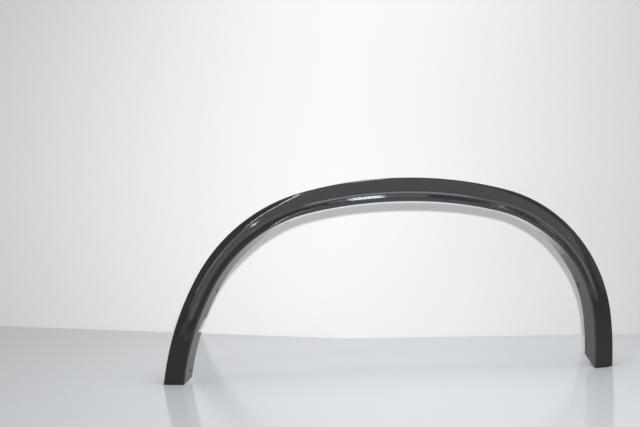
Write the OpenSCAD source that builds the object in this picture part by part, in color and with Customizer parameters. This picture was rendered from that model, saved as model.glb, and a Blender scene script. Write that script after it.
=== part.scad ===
// Wheel arch trim: one moulding that frames a car's wheel opening.
// X runs along the car, Y from the visible face into the car, Z up.
// Places along the arch are in mm along its outer edge, from the long leg's foot
// or back from the short leg's foot.

/* [Arch line] */
// Slope of the outer edge at the long leg's foot, in degrees
long_leg_slope = 83.75; // [80:0.25:87]
// Radius of the outer edge along the long leg
long_leg_r = 580; // [520:5:640]
// Turn of the outer edge along the long leg, in degrees
long_leg_turn = 22.25; // [20:0.25:25]
// Radius of the outer edge over the long leg's shoulder
long_shoulder_r = 350; // [320:5:380]
// Turn of the outer edge over the long leg's shoulder, in degrees
long_shoulder_turn = 47; // [44:0.5:50]
// Radius of the outer edge over the crown
crown_r = 870; // [800:10:950]
// Turn of the outer edge over the crown, in degrees
crown_turn = 28.75; // [26:0.25:31]
// Radius of the outer edge over the short leg's shoulder
short_shoulder_r = 310; // [290:5:330]
// Radius of the outer edge along the short leg
short_leg_r = 660; // [600:10:720]
// Turn of the outer edge along the short leg, in degrees
short_leg_turn = 9.75; // [8:0.25:12]
// Angle past upright at which the short leg meets the floor, in degrees
short_leg_toe_in = 5.25; // [3:0.25:7]
// How far the crown stands out past the feet, seen from above
plan_bow = 14; // [6:1:24]

/* [Face] */
// Wall thickness of the moulding
wall = 2.6; // [2:0.1:3.2]
// Width of the face on the long leg
long_leg_face_w = 40.5; // [36:0.5:46]
// Width of the face over the crown
crown_face_w = 50; // [46:0.5:56]
// Width of the face on the short leg
short_leg_face_w = 43; // [39:0.5:48]
// How far the outer edge lies behind the lip
edge_setback = 5; // [3:0.5:7]
// Depth of the rim behind the outer edge
rim_depth = 9; // [8:0.5:12]
// Corner blend at the outer edge and at the lip
edge_blend = 2.5; // [1.5:0.1:3]
// Bulge of the band between the outer edge and the shoulder line
band_crown = 0.7; // [0.3:0.1:1.2]

/* [Shoulder line and cove] */
// Shoulder line's distance from the outer edge on the long leg
long_leg_shoulder_in = 22.5; // [20:0.5:23]
// Shoulder line's distance from the outer edge over the crown
crown_shoulder_in = 26; // [24:0.5:27]
// Shoulder line's distance from the outer edge on the short leg
short_leg_shoulder_in = 25.5; // [24:0.5:26]
// How far the shoulder line stands out of the face
shoulder_rise = 0.5; // [0.3:0.1:0.9]
// Corner blend at the shoulder line on the legs
leg_shoulder_blend = 2.4; // [1.5:0.1:2.5]
// Corner blend at the shoulder line over the crown
crown_shoulder_blend = 5; // [4:0.1:5]
// Valley's distance from the lip on the long leg
long_leg_valley_in = 13; // [12.5:0.5:13.5]
// Valley's distance from the lip over the crown
crown_valley_in = 15.5; // [15:0.5:16.5]
// Valley's distance from the lip on the short leg
short_leg_valley_in = 12.5; // [12:0.5:13]
// Depth of the cove's valley below the face on the legs
leg_cove_depth = 1.8; // [1.2:0.1:2]
// Depth of the cove's valley below the face over the crown
crown_cove_depth = 2.9; // [2:0.1:3.2]
// Corner blend in the cove's valley
valley_blend = 1.4; // [1:0.1:1.5]
// Width of the strip beside the lip
lip_strip_w = 8; // [7:0.5:8]
// How far the strip's inside lies below the face on the legs
leg_strip_drop = 1.1; // [0.8:0.1:1.3]
// How far the strip's inside stands out of the face over the crown
crown_strip_rise = 0.3; // [0:0.1:0.5]
// Corner blend between the cove and the strip
lip_strip_blend = 2.4; // [1:0.1:2.5]
// Where the cove begins to sink into the long leg's flat foot
long_cove_start = 130; // [110:5:150]
// Length over which the cove reaches its full depth on the long leg
long_cove_run = 85; // [60:5:110]
// Where the cove ends on the short leg, back from its foot
short_cove_end = 125; // [100:5:150]
// Length over which the cove fades on the short leg
short_cove_run = 95; // [60:5:120]

/* [Changes along the arch] */
// Where the face starts to widen, past the long leg
face_widen_at = 35; // [20:5:60]
// Length over which the face widens
face_widen_run = 490; // [440:10:540]
// Where the face starts to narrow, past the crown
face_narrow_at = 90; // [60:5:110]
// Length over which the face narrows
face_narrow_run = 190; // [150:10:230]
// Where the flange starts to turn square to the face, past the long leg
flange_square_at = 100; // [80:5:120]
// Length over which the flange turns square
flange_square_run = 215; // [180:5:240]
// Where the flange starts to lean outward, back from the crown's end
flange_outward_at = 230; // [210:10:250]
// Length over which the flange turns outward
flange_outward_run = 280; // [250:10:300]
// Where the flange starts to lean inward again, past the crown
flange_inward_at = 110; // [90:5:130]
// Length over which the flange turns inward
flange_inward_run = 140; // [110:5:170]

/* [Return flange] */
// Depth of the flange behind the lip
flange_depth = 34; // [28:1:40]
// Inward lean of the flange's rear edge on the long leg
long_leg_flange_in = 11; // [8:0.5:14]
// Inward lean of the flange's rear edge over the crown
crown_flange_in = 2.5; // [0:0.5:5]
// Inward lean of the flange's rear edge over the short leg's shoulder
short_shoulder_flange_in = -2.5; // [-4:0.5:0]
// Inward lean of the flange's rear edge on the short leg
short_leg_flange_in = 4; // [2:0.5:8]
// Rise of the flange's bottom edge from lip to rear at the long leg's foot
long_foot_relief = 8; // [4:1:14]
// Rise of the flange's bottom edge from lip to rear at the short leg's foot
short_foot_relief = 25; // [18:1:28]

/* [Flange notch and slots] */
// Place of the notch's square end, up from the long leg's foot
notch_at = 117; // [105:1:130]
// Depth of the notch from the flange's rear edge
notch_h = 15.5; // [8:0.5:18]
// Length of the notch's bottom
notch_bottom_l = 13; // [8:1:20]
// Run of the slope that leads out of the notch
notch_slope_l = 15; // [8:1:20]
// Height the notch still has where its slope ends
notch_slope_end_h = 11.5; // [6:0.5:12]
// Run of the steep end of the notch at the rear edge
notch_end_l = 5; // [2:1:10]
// Length of the barb beside the notch's square end
barb_l = 9; // [6:1:14]
// How far the barb stands out behind the flange
barb_h = 2.5; // [1.5:0.5:4]
// Diameter of the two screw holes in the flange
screw_d = 5.5; // [4:0.5:7]
// Place of the long leg's screw hole, up from its foot
long_screw_at = 30; // [24:1:45]
// Place of the short leg's screw hole, back from its foot
short_screw_at = 44; // [36:1:60]
// Distance of the screw holes from the flange's rear edge
screw_edge = 11; // [9:0.5:14]
// Length of the slots for the wheel liner's tabs
liner_slot_l = 11; // [8:0.5:16]
// Width of the slots for the wheel liner's tabs
liner_slot_w = 3.6; // [2.5:0.1:5]
// Distance of the liner slots' middle from the flange's rear edge
liner_slot_edge = 6; // [5:0.5:8]
// Place of the long leg's liner slot, up from its foot
long_leg_slot_at = 220; // [200:1:240]
// Place of the liner slot over the long leg's shoulder, up from the same foot
long_shoulder_slot_at = 456; // [430:1:480]
// Place of the liner slot over the short leg's shoulder, back from its foot
short_shoulder_slot_at = 366; // [340:1:380]
// Place of the short leg's liner slot, back from the same foot
short_leg_slot_at = 195; // [175:1:215]

/* [Clip seats and ribs] */
// Number of clip seats behind the face
seat_count = 8; // [5:1:10]
// Distance of the outermost clip seats from the feet
seat_end_gap = 75; // [65:1:90]
// Length of a clip seat along the arch
seat_l = 22; // [18:1:28]
// Width of a clip seat across the face
seat_w = 15; // [13:1:17]
// Distance of a clip seat from the rim's inside
seat_rim_gap = 3; // [2:0.5:5]
// How far a clip seat's plate stays inside the rim's rear edge
seat_clear = 1; // [0.5:0.1:2]
// Wall thickness of a clip seat
seat_wall = 1.8; // [1.4:0.1:2.2]
// Diameter of the keyhole that takes a clip's neck
keyhole_d = 8; // [6:0.5:9]
// Width of the keyhole's way in
keyhole_entry_w = 5.5; // [4:0.5:7]
// Number of gusset ribs between flange and face
rib_count = 13; // [8:1:18]
// Distance of the outermost ribs from the feet
rib_end_gap = 62; // [55:1:80]
// Thickness of a gusset rib
rib_t = 1.5; // [1.2:0.1:2]
// Reach of a rib along the face
rib_face_reach = 16; // [12:1:18]
// Reach of a rib along the flange
rib_flange_reach = 15; // [10:1:16]

/* [Hidden] */

// Longest step between two sections along the arch
section_step = 19;
// Corner blends where the band bulges, and behind it, the edges and the strip
band_blend = 4;
hidden_band_blend = 3;
hidden_edge_blend = 1;
hidden_strip_blend = 0.3;
// How far the legs run below the floor before it trims them
foot_overrun = 14;
// How far a cutting tool reaches past what it cuts
cut_over = 5;
plate_over = 1;
// How far the barb's faces lie inside the flange's
barb_inset = 0.3;
bore_fn = 48;

// The rest of the half turn and more falls to the short leg's shoulder
short_shoulder_turn = long_leg_slope + 90 + short_leg_toe_in
    - long_leg_turn - long_shoulder_turn - crown_turn - short_leg_turn;
arcs = [
    [long_leg_r, long_leg_turn],
    [long_shoulder_r, long_shoulder_turn],
    [crown_r, crown_turn],
    [short_shoulder_r, short_shoulder_turn],
    [short_leg_r, short_leg_turn],
];

// Arc helpers: a state is [x, z, heading, distance along the edge]
function arc_length(arc) = arc[0] * arc[1] * PI / 180;
function along_arc(state, r, turn) = [
    state[0] - r * (sin(state[2] - turn) - sin(state[2])),
    state[1] + r * (cos(state[2] - turn) - cos(state[2])),
    state[2] - turn,
    state[3] + arc_length([r, turn]),
];
function along_line(state, run) = [
    state[0] + run * cos(state[2]),
    state[1] + run * sin(state[2]),
    state[2],
    state[3] + run,
];
function arc_start(i) = i == 0
    ? [0, 0, long_leg_slope, 0]
    : along_arc(arc_start(i - 1), arcs[i - 1][0], arcs[i - 1][1]);

starts = [for (i = [0 : len(arcs)]) arc_start(i)];
short_foot = starts[len(arcs)];
edge_length = short_foot[3];

// State at any place along the edge, straight on past both feet
function place(s, i = 0) =
    s < 0 ? along_line(starts[0], s)
    : s >= edge_length ? along_line(short_foot, s - edge_length)
    : s < starts[i + 1][3]
        ? along_arc(starts[i], arcs[i][0], (s - starts[i][3]) / arcs[i][0] * 180 / PI)
        : place(s, i + 1);

// Places of the sections: even steps in each arc, and one past each foot
short_overrun = max(cut_over, (short_foot[1] + foot_overrun) / -sin(short_foot[2]));
sections = concat(
    [-foot_overrun],
    [for (i = [0 : len(arcs) - 1])
        let (steps = ceil(arc_length(arcs[i]) / section_step))
        for (k = [0 : steps - 1]) starts[i][3] + arc_length(arcs[i]) * k / steps],
    [edge_length, edge_length + short_overrun]
);

// Eased change from 0 to 1 between two places, and a value that holds on
// each leg and over the crown and eases from one to the next
function ease(s, from, to) =
    let (u = min(1, max(0, (s - from) / (to - from))))
    u * u * (3 - 2 * u);
function over_arch(s, long_leg, crown, short_leg, rise, fall) =
    long_leg + (crown - long_leg) * ease(s, rise[0], rise[1])
    + (short_leg - crown) * ease(s, fall[0], fall[1]);

long_shoulder_s = starts[1][3];
crown_s = starts[2][3];
short_shoulder_s = starts[3][3];
short_leg_s = starts[4][3];
function stretch(from, run) = [from, from + run];
widen = stretch(long_shoulder_s + face_widen_at, face_widen_run);
narrow = stretch(short_shoulder_s + face_narrow_at, face_narrow_run);
lean_square = stretch(long_shoulder_s + flange_square_at, flange_square_run);
lean_outward = stretch(short_shoulder_s - flange_outward_at, flange_outward_run);
lean_inward = stretch(short_shoulder_s + flange_inward_at, flange_inward_run);
long_cove = stretch(long_cove_start, long_cove_run);
short_cove = stretch(edge_length - short_cove_end - short_cove_run, short_cove_run);

function face_w(s) =
    over_arch(s, long_leg_face_w, crown_face_w, short_leg_face_w, widen, narrow);
function shoulder_in(s) =
    over_arch(s, long_leg_shoulder_in, crown_shoulder_in, short_leg_shoulder_in, widen, narrow);
function valley_in(s) =
    over_arch(s, long_leg_valley_in, crown_valley_in, short_leg_valley_in, widen, narrow);
function flange_in(s) =
    over_arch(s, long_leg_flange_in, crown_flange_in, short_shoulder_flange_in,
        lean_square, lean_outward)
    + (short_leg_flange_in - short_shoulder_flange_in) * ease(s, lean_inward[0], lean_inward[1]);
function cove(s) = over_arch(s, 0, 1, 0, long_cove, short_cove);

// Face plane's depth at x: deepest at the feet, 0 over the middle
foot_span = short_foot[0];
function bow(x) = plan_bow * pow(2 * x / foot_span - 1, 2);

// Section corners from the rim's rear to the flange's rear edge, as
// [distance in from the outer edge, depth behind the lip]
function slope_y(w, inward) = edge_setback * (1 - inward / w);
function front_corners(s) =
    let (
        w = face_w(s),
        shoulder = shoulder_in(s),
        valley = w - valley_in(s),
        strip = w - lip_strip_w,
        k = cove(s),
        cove_depth = over_arch(s, leg_cove_depth, crown_cove_depth, leg_cove_depth, widen, narrow),
        strip_drop = over_arch(s, leg_strip_drop, -crown_strip_rise, leg_strip_drop, widen, narrow)
    ) [
        [0, edge_setback + rim_depth],
        [0, edge_setback],
        [shoulder / 2, slope_y(w, shoulder / 2) - band_crown - k * shoulder_rise / 2],
        [shoulder, slope_y(w, shoulder) - k * shoulder_rise],
        [valley, slope_y(w, valley) + k * cove_depth],
        [strip, slope_y(w, strip) + k * strip_drop],
        [w, 0],
        [w + flange_in(s), flange_depth],
    ];
function shoulder_blend(s) =
    over_arch(s, leg_shoulder_blend, crown_shoulder_blend, leg_shoulder_blend, widen, narrow);
function front_blends(s) =
    [0, edge_blend, band_blend, shoulder_blend(s), valley_blend, lip_strip_blend, edge_blend, 0];
function hidden_blends(s) = [0, hidden_edge_blend, hidden_band_blend, shoulder_blend(s), hidden_strip_blend,
    hidden_strip_blend, hidden_edge_blend, 0];
// Spans drawn in each of those blends
front_spans = [0, 4, 2, 5, 3, 3, 4, 0];
hidden_spans = [0, 2, 1, 2, 1, 1, 2, 0];

// The same corners shifted a distance into the material
function unit(v) = v / norm(v);
function inner_normal(p, q) = let (d = unit(q - p)) [-d[1], d[0]];
function shifted(corners, depth) =
    let (last = len(corners) - 1)
    [for (i = [0 : last])
        let (
            before = inner_normal(corners[max(i - 1, 0)], corners[max(i, 1)]),
            after = inner_normal(corners[min(i, last - 1)], corners[min(i + 1, last)]),
            moved = corners[i] + depth * (before + after) / (1 + before * after),
            run = corners[last] - corners[last - 1]
        )
        i == last ? moved - run * (moved[1] - corners[last][1]) / run[1] : moved];
function depth_at(line, inward, i = 1) =
    line[i + 1][0] >= inward || i == len(line) - 3
        ? line[i][1] + (line[i + 1][1] - line[i][1])
            * (inward - line[i][0]) / (line[i + 1][0] - line[i][0])
        : depth_at(line, inward, i + 1);

// Corners joined by short curves that keep the same number of points
function blended(corners, blends, spans) =
    let (last = len(corners) - 1)
    [for (i = [0 : last])
        if (i == 0 || i == last) corners[i]
        else
            let (
                a = corners[i] + blends[i] * unit(corners[i - 1] - corners[i]),
                b = corners[i] + blends[i] * unit(corners[i + 1] - corners[i])
            )
            for (k = [0 : spans[i]])
                let (u = k / spans[i])
                (1 - u) * (1 - u) * a + 2 * u * (1 - u) * corners[i] + u * u * b];
function reversed(list) = [for (i = [len(list) - 1 : -1 : 0]) list[i]];
function section(s) = concat(
    blended(front_corners(s), front_blends(s), front_spans),
    reversed(blended(shifted(front_corners(s), wall), hidden_blends(s), hidden_spans))
);

// A section point as a point in space
function in_space(state, p) = [
    state[0] + sin(state[2]) * p[0],
    bow(state[0]) + p[1],
    state[1] - cos(state[2]) * p[0],
];
skin = [for (s = sections) let (state = place(s)) [for (p = section(s)) in_space(state, p)]];

// The part's frame: floor at 0, centred between its sides and front to back
above_floor = [for (row = skin) for (p = row) if (p[2] >= 0) p];
centre_x = (min([for (p = above_floor) p[0]]) + max([for (p = above_floor) p[0]])) / 2;
notch_lean = atan2(flange_in(notch_at), flange_depth);
barb_rear = bow(place(notch_at)[0]) + flange_depth + barb_h * cos(notch_lean)
    + (wall - barb_inset) * sin(notch_lean);
centre_y = (min([for (p = above_floor) p[1]]) + max(barb_rear, max([for (p = above_floor) p[1]]))) / 2;

// A seat's plate lies just inside the rim, which bears on the car body
seat_depth = edge_setback + rim_depth - seat_clear;

slots = [
    long_leg_slot_at,
    long_shoulder_slot_at,
    edge_length - short_shoulder_slot_at,
    edge_length - short_leg_slot_at,
];

// Seats and ribs stand in even steps between the feet
function even(i, count, gap) = gap + (edge_length - 2 * gap) * i / (count - 1);

// Draws at a place along the arch: x in from the outer edge, y back, z along
module at(s) {
    state = place(s);
    translate([state[0], bow(state[0]), state[1]])
        rotate([0, 90 - state[2], 0])
            children();
}

// Draws on the flange: x along its slope from the rear edge, z through it
module on_flange(s) {
    lean = atan2(flange_in(s), flange_depth);
    at(s)
        translate([face_w(s) + flange_in(s), flange_depth, 0])
            rotate([0, 0, -90 - lean])
                rotate([90, 0, 0])
                    children();
}

module shell() {
    count = len(skin[0]);
    last = len(skin) - 1;
    sides = [for (row = [0 : last - 1]) for (k = [0 : count - 1])
        let (
            next = (k + 1) % count,
            a = row * count + k,
            b = row * count + next,
            c = (row + 1) * count + next,
            d = (row + 1) * count + k
        )
        each [[a, c, b], [a, d, c]]];
    long_cap = [for (k = [0 : count - 1]) k];
    short_cap = [for (k = [count - 1 : -1 : 0]) last * count + k];
    polyhedron([for (row = skin) each row], concat(sides, [long_cap, short_cap]));
}

// Outline that follows the middle of the wall between two distances inward
function wall_middle(s) = shifted(front_corners(s), wall / 2);
function wall_line(s, from, to) =
    let (middle = wall_middle(s))
    concat(
        [[from, depth_at(middle, from)]],
        [for (i = [2 : 5]) if (middle[i][0] > from && middle[i][0] < to) middle[i]],
        [[to, depth_at(middle, to)]]
    );

// Box behind the band, open towards the flange, whose plate takes a clip
module clip_seat(s) {
    from = wall + seat_rim_gap;
    to = from + seat_w;
    plate_y = seat_depth - seat_wall;
    at(s)
        difference() {
            union() {
                for (side = [-1, 1])
                    translate([0, 0, side * (seat_l - seat_wall) / 2 - seat_wall / 2])
                        linear_extrude(seat_wall)
                            polygon(concat(wall_line(s, from, to), [[to, seat_depth], [from, seat_depth]]));
                translate([0, 0, -seat_l / 2])
                    linear_extrude(seat_l)
                        polygon(concat(
                            wall_line(s, from, from + seat_wall),
                            [[from + seat_wall, seat_depth], [from, seat_depth]]));
                translate([from, plate_y, -seat_l / 2])
                    cube([seat_w, seat_wall, seat_l]);
            }
            translate([from + (seat_w + seat_wall) / 2, plate_y - plate_over, 0])
                rotate([-90, 0, 0])
                    cylinder(h = seat_wall + 2 * plate_over, d = keyhole_d, $fn = bore_fn);
            translate([from + (seat_w + seat_wall) / 2, plate_y - plate_over, -keyhole_entry_w / 2])
                cube([seat_w, seat_wall + 2 * plate_over, keyhole_entry_w]);
        }
}

// Triangular gusset in the corner between the flange and the face
module gusset(s) {
    middle = wall_middle(s);
    lip = middle[6];
    flange = unit(middle[7] - lip);
    at(s)
        translate([0, 0, -rib_t / 2])
            linear_extrude(rib_t)
                polygon(concat(
                    wall_line(s, lip[0] - rib_face_reach, lip[0]),
                    [lip + rib_flange_reach * flange]));
}

// Notch in the flange's rear edge: square towards the foot, sloped towards the crown
module notch() {
    slope_end = notch_bottom_l + notch_slope_l;
    on_flange(notch_at)
        translate([0, 0, -flange_depth / 2])
            linear_extrude(flange_depth)
                polygon([
                    [-cut_over, 0],
                    [notch_h, 0],
                    [notch_h, notch_bottom_l],
                    [notch_slope_end_h, slope_end],
                    [0, slope_end + notch_end_l],
                    [-cut_over, slope_end + notch_end_l],
                ]);
}

// Barb behind the flange's rear edge that hooks the body panel beside the notch
module barb() {
    on_flange(notch_at)
        translate([0, 0, barb_inset])
            linear_extrude(wall - 2 * barb_inset)
                polygon([
                    [cut_over, -barb_l],
                    [0, -barb_l],
                    [-barb_h, -barb_h / 2],
                    [-barb_h, cut_over],
                    [cut_over, cut_over],
                ]);
}

module screw_hole(s) {
    on_flange(s)
        translate([screw_edge, 0, -cut_over])
            cylinder(h = wall + 2 * cut_over, d = screw_d, $fn = bore_fn);
}

module liner_slot(s) {
    on_flange(s)
        translate([liner_slot_edge - liner_slot_w / 2, -liner_slot_l / 2, -cut_over])
            cube([liner_slot_w, liner_slot_l, wall + 2 * cut_over]);
}

// Wedge that lifts the flange's bottom edge off the floor towards the rear
module foot_relief(x, rise) {
    reach = flange_depth + cut_over;
    translate([x, bow(0) + edge_blend, 0])
        rotate([90, 0, 90])
            translate([0, 0, -crown_face_w * 2])
                linear_extrude(crown_face_w * 4)
                    polygon([
                        [0, -cut_over],
                        [reach, -cut_over],
                        [reach, rise * reach / flange_depth],
                        [0, 0],
                    ]);
}

module arch_trim() {
    color([0.10, 0.10, 0.11])
        translate([-centre_x, -centre_y, 0])
            difference() {
                union() {
                    shell();
                    for (i = [0 : seat_count - 1]) clip_seat(even(i, seat_count, seat_end_gap));
                    for (i = [0 : rib_count - 1]) gusset(even(i, rib_count, rib_end_gap));
                    barb();
                }
                notch();
                screw_hole(long_screw_at);
                screw_hole(edge_length - short_screw_at);
                for (s = slots) liner_slot(s);
                foot_relief(0, long_foot_relief);
                foot_relief(foot_span, short_foot_relief);
                translate([-foot_span / 2, -plan_bow, -2 * foot_overrun - flange_depth])
                    cube([foot_span * 2, plan_bow * 4 + flange_depth * 2, 2 * foot_overrun + flange_depth]);
            }
}

arch_trim();
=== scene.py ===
import math

import bmesh
import bpy
from mathutils import Matrix, Vector


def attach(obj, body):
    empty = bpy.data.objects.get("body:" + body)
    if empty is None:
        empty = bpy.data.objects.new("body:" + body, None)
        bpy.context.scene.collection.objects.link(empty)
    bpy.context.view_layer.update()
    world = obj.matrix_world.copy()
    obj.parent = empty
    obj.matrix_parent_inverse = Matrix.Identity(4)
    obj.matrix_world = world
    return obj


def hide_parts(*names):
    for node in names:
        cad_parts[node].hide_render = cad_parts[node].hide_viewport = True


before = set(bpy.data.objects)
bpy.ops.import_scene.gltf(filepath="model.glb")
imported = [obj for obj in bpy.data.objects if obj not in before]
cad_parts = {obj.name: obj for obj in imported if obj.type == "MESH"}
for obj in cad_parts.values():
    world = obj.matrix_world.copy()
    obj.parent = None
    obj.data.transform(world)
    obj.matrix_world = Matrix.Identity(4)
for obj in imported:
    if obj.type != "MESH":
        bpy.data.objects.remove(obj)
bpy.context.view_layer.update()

collection = bpy.context.scene.collection

# The arch trim is one moulding in impact-resistant plastic, polished in the mould to a deep
# gloss black on its face and left satin on the return flange. The flange goes round the body
# panel's edge; clips behind the face and a screw through the flange at each foot hold it on.
trim_crease = math.radians(34)
merge_distance = 1e-5
face_black = (0.017, 0.0175, 0.0185, 1)
flange_black = (0.045, 0.045, 0.047, 1)
# The specks' grey is partly settled dust and partly painted glints of light.
dust_and_glint_grey = (0.35, 0.35, 0.36, 1)
face_roughness = 0.06
flange_roughness = 0.16
dust_and_glint_roughness = 0.3
peel_height = 0.00002
peel_scale = 420
mottle_scale = 55
speck_scale = 450
dust_and_glint_patch_scale = 25


class Signal:
    """A value that changes over a surface: an expression on it adds the Math nodes."""

    def __init__(self, graph, socket):
        self.graph = graph
        self.socket = socket

    def math(self, operation, *values):
        return self.graph.node("ShaderNodeMath", {"operation": operation}, dict(enumerate(values)))

    def __add__(self, other):
        return self.math("ADD", self, other)

    def __sub__(self, other):
        return self.math("SUBTRACT", self, other)

    def __rsub__(self, other):
        return self.math("SUBTRACT", other, self)

    def __mul__(self, other):
        return self.math("MULTIPLY", self, other)

    __radd__ = __add__
    __rmul__ = __mul__

    def rises(self, low, high):
        """0 below low, 1 above high, and eased in between."""
        return self.graph.node(
            "ShaderNodeMapRange", {"interpolation_type": "SMOOTHSTEP"}, {"Value": self, 1: low, 2: high})


class Graph:
    """A node tree, with the one way to add a node to it."""

    def __init__(self, tree):
        self.tree = tree

    def node(self, kind, settings, sockets, output=0):
        made = self.tree.nodes.new(kind)
        for name, value in settings.items():
            setattr(made, name, value)
        for name, value in sockets.items():
            self.feed(made.inputs[name], value)
        return Signal(self, made.outputs[output])

    def feed(self, socket, value):
        if isinstance(value, Signal):
            self.tree.links.new(value.socket, socket)
        else:
            socket.default_value = value


class Finish(Graph):
    """A material built around one Principled BSDF."""

    def __init__(self, name, **constants):
        self.material = bpy.data.materials.new(name)
        self.material.use_nodes = True
        super().__init__(self.material.node_tree)
        self.shader = self.tree.nodes["Principled BSDF"]
        for socket, value in constants.items():
            self.drive(socket.replace("_", " "), value)

    def drive(self, name, value):
        self.feed(self.shader.inputs[name], value)

    def own(self, name):
        """A share from 0 to 1 that the mesh carries for each face."""
        return self.node("ShaderNodeAttribute", {"attribute_name": name}, {}, "Fac")

    def noise(self, scale, detail=2.0):
        place = self.node("ShaderNodeTexCoord", {}, {}, "Object")
        return self.node("ShaderNodeTexNoise", {}, {"Vector": place, "Scale": scale, "Detail": detail})

    def tint(self, share, low, high):
        """A colour from low to high, by a share from 0 to 1."""
        return self.node("ShaderNodeMix", {"data_type": "RGBA"}, {0: share, 6: low, 7: high}, 2)

    def bump(self, height, distance):
        return self.node("ShaderNodeBump", {}, {"Height": height, "Distance": distance, "Strength": 1})

    def hide_back(self):
        """Lets the surface be seen from its front only."""
        behind = self.node("ShaderNodeNewGeometry", {}, {}, "Backfacing")
        front = Signal(self, self.shader.outputs[0])
        clear = self.node("ShaderNodeBsdfTransparent", {}, {})
        one_sided = self.node("ShaderNodeMixShader", {}, {0: behind, 1: front, 2: clear})
        self.feed(self.tree.nodes["Material Output"].inputs["Surface"], one_sided)


def smooth_copy(node, name, crease):
    """A copy of a CAD node's mesh, merged and smooth up to the crease angle."""
    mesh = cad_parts[node].data.copy()
    piece = bpy.data.objects.new(name, mesh)
    collection.objects.link(piece)
    shape = bmesh.new()
    shape.from_mesh(mesh)
    bmesh.ops.remove_doubles(shape, verts=shape.verts, dist=merge_distance)
    for edge in shape.edges:
        edge.smooth = edge.calc_face_angle(0) < crease
    for face in shape.faces:
        face.smooth = True
    shape.to_mesh(mesh)
    shape.free()
    mesh.materials.clear()
    normals = piece.modifiers.new("even_gloss", "WEIGHTED_NORMAL")
    normals.keep_sharp = True
    return piece


def mark(mesh, name, share):
    """Stores a share from 0 to 1 on each face."""
    layer = mesh.attributes.new(name, "FLOAT", "FACE")
    for face, value in zip(mesh.polygons, layer.data):
        value.value = min(1, max(0, share(face.normal, face.center)))


def satin_share(normal, middle):
    """1 on the flange and behind the face, 0 on the polished face and outer edge."""
    if normal.y > 0.3:
        return 1
    towards_wheel = normal.x * -middle.x + normal.z * -middle.z
    return (normal.y + 0.85) / 0.5 if towards_wheel > 0 else 0


def ledge_share(normal, middle):
    """How far a face of the front looks up, where dust settles and where the grey specks are also
    painted glints of light.
    """
    return (normal.z - 0.12) / 0.3 if normal.y < -0.5 else 0


gloss_black = Finish("gloss_black", IOR=1.5, Coat_Roughness=0.14)
satin = gloss_black.own("satin")
ledge = gloss_black.own("ledge")
gloss_black.drive("Coat Weight", satin)

# Settled dust lies as fine grey specks, in patches; the same grey specks are also painted glints of
# light on the up-facing faces
specks = gloss_black.noise(speck_scale, 1.0).rises(0.62, 0.72)
dust_and_glint = ledge * specks * gloss_black.noise(dust_and_glint_patch_scale).rises(0.42, 0.6)
bare = gloss_black.tint(satin, face_black, flange_black)
gloss_black.drive("Base Color", gloss_black.tint(dust_and_glint * 0.6, bare, dust_and_glint_grey))
gloss_black.drive(
    "Roughness", face_roughness + satin * (flange_roughness - face_roughness) + dust_and_glint * dust_and_glint_roughness)

# The polished face has a faint orange peel, and the satin flange a coarser mottle
mottle = gloss_black.noise(mottle_scale, 4.0)
orange_peel = gloss_black.noise(peel_scale, 0.0) * (0.35 + ledge * 1.4)
gloss_black.drive("Normal", gloss_black.bump(orange_peel * (1 - satin) + satin * mottle, peel_height))

trim = smooth_copy("arch_trim", "arch_trim_gloss", trim_crease)
mark(trim.data, "satin", satin_share)
mark(trim.data, "ledge", ledge_share)
trim.data.materials.append(gloss_black.material)
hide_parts("arch_trim")
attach(trim, "root")

# The stage is a glossy pale table top with two white boards that stand on it and meet behind
# the arch. It isn't part of the object. A board or table top can be looked through from behind,
# so no view is blocked, and the boards throw no light back on the table.
stage_reach = 3.0
table_drop = 0.0002
table_roughness = 0.12
table_colour = (0.70, 0.725, 0.75, 1)
board_corner = (-0.056, 0.404)
left_board_y = 1.491
right_board_y = 0.108
board_roughness = 0.9
board_colour = (0.88, 0.885, 0.89, 1)


def sheet(name, finish, line, across):
    """A sheet along a line of points and as wide as across, seen from one side only."""
    shape = bmesh.new()
    points = [shape.verts.new(point) for point in line]
    edges = [shape.edges.new(pair) for pair in zip(points, points[1:])]
    pulled = bmesh.ops.extrude_edge_only(shape, edges=edges)["geom"]
    far = [part for part in pulled if isinstance(part, bmesh.types.BMVert)]
    bmesh.ops.translate(shape, verts=far, vec=across)
    for face in shape.faces:
        face.smooth = True
    mesh = bpy.data.meshes.new(name)
    shape.to_mesh(mesh)
    shape.free()
    finish.hide_back()
    mesh.materials.append(finish.material)
    surface = bpy.data.objects.new(name, mesh)
    collection.objects.link(surface)
    return surface


table_finish = Finish("table", Base_Color=table_colour, Roughness=table_roughness)
table = sheet(
    "table", table_finish,
    [(stage_reach, -stage_reach, -table_drop), (-stage_reach, -stage_reach, -table_drop)],
    (0, 2 * stage_reach, 0))
boards_finish = Finish("boards", Base_Color=board_colour, Roughness=board_roughness)
boards = sheet(
    "boards", boards_finish,
    [(stage_reach, right_board_y, -table_drop), (*board_corner, -table_drop),
     (-stage_reach, left_board_y, -table_drop)],
    (0, 0, stage_reach))
boards.visible_diffuse = False

# The camera looks at the face from the long leg's side, a little above mid height.
camera = bpy.data.objects.new("camera", bpy.data.cameras.new("camera"))
camera.data.lens = 31.5
camera.data.sensor_width = 36
camera.location = (-0.2531, -1.1660, 0.3108)
camera.rotation_euler = (math.radians(91.485), math.radians(1.030), math.radians(-4.853))
collection.objects.link(camera)
bpy.context.scene.camera = camera

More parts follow.
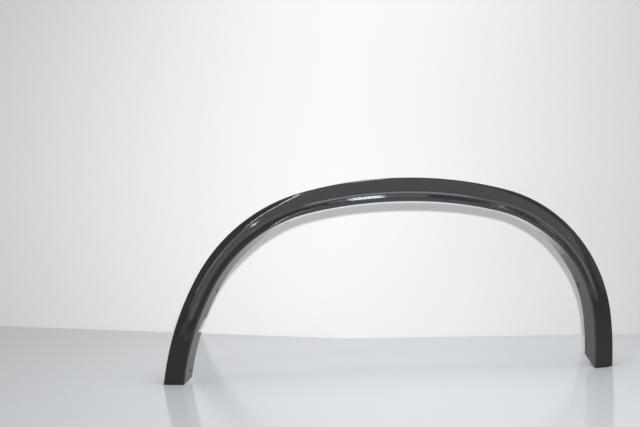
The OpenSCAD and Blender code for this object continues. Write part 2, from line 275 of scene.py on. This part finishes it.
# The room gives even light all round. It is stronger in the gloss, and nearly white to the
# camera, which sees it wherever neither board nor table is in view.
room_light = 0.34
room_in_gloss = 0.63
room_to_camera = 0.95
world = bpy.data.worlds.new("studio")
bpy.context.scene.world = world
world.use_nodes = True
room = Graph(world.node_tree)
glossy_ray = room.node("ShaderNodeLightPath", {}, {}, "Is Glossy Ray")
camera_ray = room.node("ShaderNodeLightPath", {}, {}, "Is Camera Ray")
background = world.node_tree.nodes["Background"]
background.inputs["Color"].default_value = (1, 1, 1, 1)
room.feed(
    background.inputs["Strength"],
    room_light + glossy_ray * (room_in_gloss - room_light) + camera_ray * (room_to_camera - room_light))


def group_of(name, piece):
    """A group that links lamps to one piece."""
    group = bpy.data.collections.new(name)
    group.objects.link(piece)
    return group


trim_group = group_of("trim_group", trim)
boards_group = group_of("boards_group", boards)
table_group = group_of("table_group", table)


def lamp(name, at, aim, size, radiance, roll):
    """An area lamp that the camera doesn't see, and from which only the trim casts a shadow."""
    light = bpy.data.objects.new(name, bpy.data.lights.new(name, "AREA"))
    light.data.shape = "RECTANGLE"
    light.data.size, light.data.size_y = size
    light.data.energy = radiance * math.pi * size[0] * size[1]
    facing = (Vector(aim) - Vector(at)).to_track_quat("-Z", "Y").to_matrix().to_4x4()
    light.matrix_world = Matrix.Translation(at) @ facing @ Matrix.Rotation(math.radians(roll), 4, "Z")
    light.visible_camera = False
    light.light_linking.blocker_collection = trim_group
    collection.objects.link(light)
    return light


# These lamps light the matt surfaces. The small one just above the lens throws the trim's shadow
# on the boards.
def matt_lamp(name, at, aim, size, radiance, lit=None):
    light = lamp(name, at, aim, size, radiance, 0)
    light.visible_glossy = False
    light.light_linking.receiver_collection = lit


matt_lamp("lens_lamp", (-0.226, -1.17, 0.381), (-0.5, 0, 0.36), (0.02, 0.02), 11600, boards_group)
matt_lamp("left_lamp", (-1.6, -1.2, 0.6), (-0.9, 0.7, 0.5), (0.8, 0.8), 2.4, boards_group)
matt_lamp("ceiling_lamp", (0.05, 0, 1.7), (0.05, 0, 0), (0.9, 0.7), 2.8)
matt_lamp("table_lamp", (0.06, -0.25, 1.0), (0.06, -0.25, 0), (0.5, 0.5), 6.2, table_group)
matt_lamp("table_sky", (0, 0, 3.5), (0, 0, 0), (8, 8), 0.15, table_group)


# These cards only show in the trim's gloss, where they draw its light lines, ramps and streak.
gloss_tint = (0.86, 0.92, 1.0)


def gloss_card(name, at, aim, size, radiance, roll=0):
    light = lamp(name, at, aim, size, radiance, roll)
    light.data.color = gloss_tint
    light.visible_diffuse = False
    light.light_linking.receiver_collection = trim_group


# One large panel stands in front, with a bright rim at its left and top.
panel_roll = -34.5


def front_card(name, x, y, z, size, radiance, roll=0):
    gloss_card(name, (x, y, z), (x, 0, z), size, radiance, roll)


front_card("front_panel", 0.479, -1.62, 0.283, (2.2, 2.2), 1.0, panel_roll)
front_card("panel_rim", -0.838, -1.61, 0.303, (0.03, 0.54), 6.5, panel_roll)
front_card("panel_top", -0.47, -1.612, 0.925, (0.10, 0.90), 1.05, panel_roll)
front_card("panel_top_rim", -0.485, -1.61, 0.993, (0.02, 0.90), 30, panel_roll)
front_card("spot", -0.575, -1.60, 0.495, (0.05, 0.03), 30)
front_card("right_panel", 2.40, -1.62, 0.6, (0.7, 1.2), 0.25)


# Three cards lie on the table in front of the arch and light the slope below the shoulder line.
def table_card(name, x, y, size, radiance, above_table=0.002):
    gloss_card(name, (x, y, above_table), (x, y, 1), size, radiance)


table_card("table_card", 0.175, -0.66, (0.50, 0.40), 3.1)
table_card("table_card_right", 0.55, -0.66, (0.25, 0.40), 1.0)
table_card("table_card_left", -0.40, -0.80, (0.6, 0.5), 0.4)

# Lamps above and beside the arch make the streak in the cove over the crown, and its glow.
gloss_card("streak", (0.13, -1.25, 2.1), (0, 0, 0.38), (0.34, 0.8), 19)
gloss_card("streak_glow", (0.25, -1.25, 2.12), (0, 0, 0.38), (1.1, 0.8), 1.6)
gloss_card("right_glow", (1.9, -1.5, 2.1), (0.2, 0, 0.35), (0.5, 0.5), 5)
gloss_card("right_side", (1.6, -0.1, 0.7), (-0.4, 0, 0.3), (0.8, 0.8), 1.5)

bpy.context.scene.view_settings.view_transform = "Standard"
